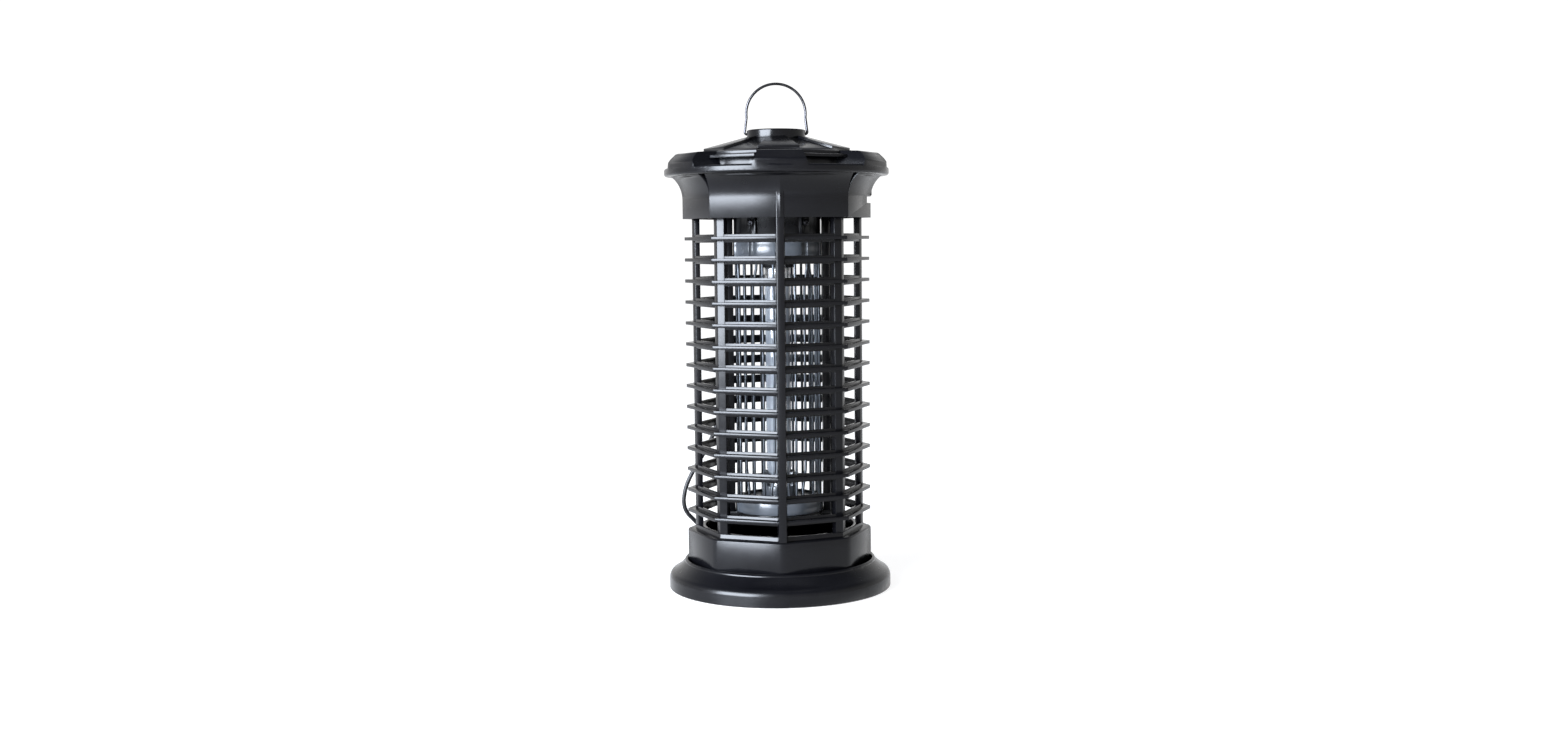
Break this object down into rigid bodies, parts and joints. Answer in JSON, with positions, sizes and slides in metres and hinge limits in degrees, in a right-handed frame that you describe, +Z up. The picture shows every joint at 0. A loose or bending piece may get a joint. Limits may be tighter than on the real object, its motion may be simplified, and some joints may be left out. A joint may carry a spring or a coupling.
{
  "type": "electric bug zapper",
  "caption": "Lantern-shaped electric insect killer: eight-sided louvred cage around an ultraviolet lamp and wire grid, round foot with catch tray, brimmed roof and wire hanging handle.",
  "frame": {"origin": "centre of the underside of the rubber feet, on the vertical axis of the lantern", "axes": "+Z up along the lantern, -Y to the front corner rib, X along the hinge line of the handle"},
  "size_m": [0.1614, 0.2312, 0.3639],
  "materials": {
    "black_plastic": "satin moulded",
    "gloss_black": "gloss moulded",
    "inner_black": "matt moulded",
    "steel_wire": "drawn wire",
    "screw_steel": "zinc plated",
    "screw_dark": "blackened",
    "pale_insulator": "satin moulded",
    "grid_steel": "drawn wire",
    "lamp_glass": "coated glass",
    "lamp_metal": "satin",
    "pin_brass": "plated",
    "board_green": "lacquered",
    "core_steel": "varnished",
    "capacitor_blue": "gloss",
    "black_rubber": "matt",
    "tie_black": "matt"
  },
  "bodies": {
    "housing": {"bottom_insulator": "pale_insulator", "cage_posts": "black_plastic", "cage_rib_front": "black_plastic", "cage_rib_rear": "black_plastic", "can_lid": "inner_black", "can_screws": "screw_dark", "cap_screw": "screw_steel", "capacitors": "capacitor_blue", "circuit_board": "board_green", "cord_coil": "black_rubber", "cord_lead": "black_rubber", "cord_tail": "black_rubber", "cord_tie": "tie_black", "driver_can": "inner_black", "grid_base": "inner_black", "grid_column_left": "inner_black", "grid_column_right": "inner_black", "hanger_cap": "gloss_black", "hot_conductor_ring": "grid_steel", "hot_grid_rods": "grid_steel", "lamp_end_caps": "lamp_metal", "lamp_pins": "pin_brass", "lamp_socket_bottom": "pale_insulator", "lamp_socket_top": "inner_black", "lamp_tube": "lamp_glass", "lid_latch": "black_plastic", "louvre_ring_01": "black_plastic", "louvre_ring_02": "black_plastic", "louvre_ring_03": "black_plastic", "louvre_ring_04": "black_plastic", "louvre_ring_05": "black_plastic", "louvre_ring_06": "black_plastic", "louvre_ring_07": "black_plastic", "louvre_ring_08": "black_plastic", "louvre_ring_09": "black_plastic", "louvre_ring_10": "black_plastic", "louvre_ring_11": "black_plastic", "louvre_ring_12": "black_plastic", "louvre_ring_13": "black_plastic", "louvre_ring_14": "black_plastic", "lower_collar": "black_plastic", "plug_blades": "pin_brass", "plug_body": "black_rubber", "return_conductor_ring": "grid_steel", "return_grid_rods": "grid_steel", "rim_ring": "black_plastic", "roof_cover": "black_plastic", "roof_screws": "screw_steel", "strain_relief": "black_rubber", "top_insulator": "pale_insulator", "transformer": "core_steel", "upper_collar": "black_plastic"},
    "base": {"foot": "black_plastic", "rubber_feet": "black_rubber", "catch_tray": "inner_black"},
    "handle": {"bail_handle": "steel_wire"}
  },
  "joints": [
    {"name": "handle_swing", "type": "hinge", "parent": "housing", "child": "handle", "pos_m": [0, 0, 0.3273], "axis": [1, 0, 0], "range_deg": [-92, 92]},
    {"name": "base_twist", "type": "hinge", "parent": "housing", "child": "base", "pos_m": [0, 0, 0.03], "axis": [0, 0, 1], "range_deg": [0, 25]}
  ]
}
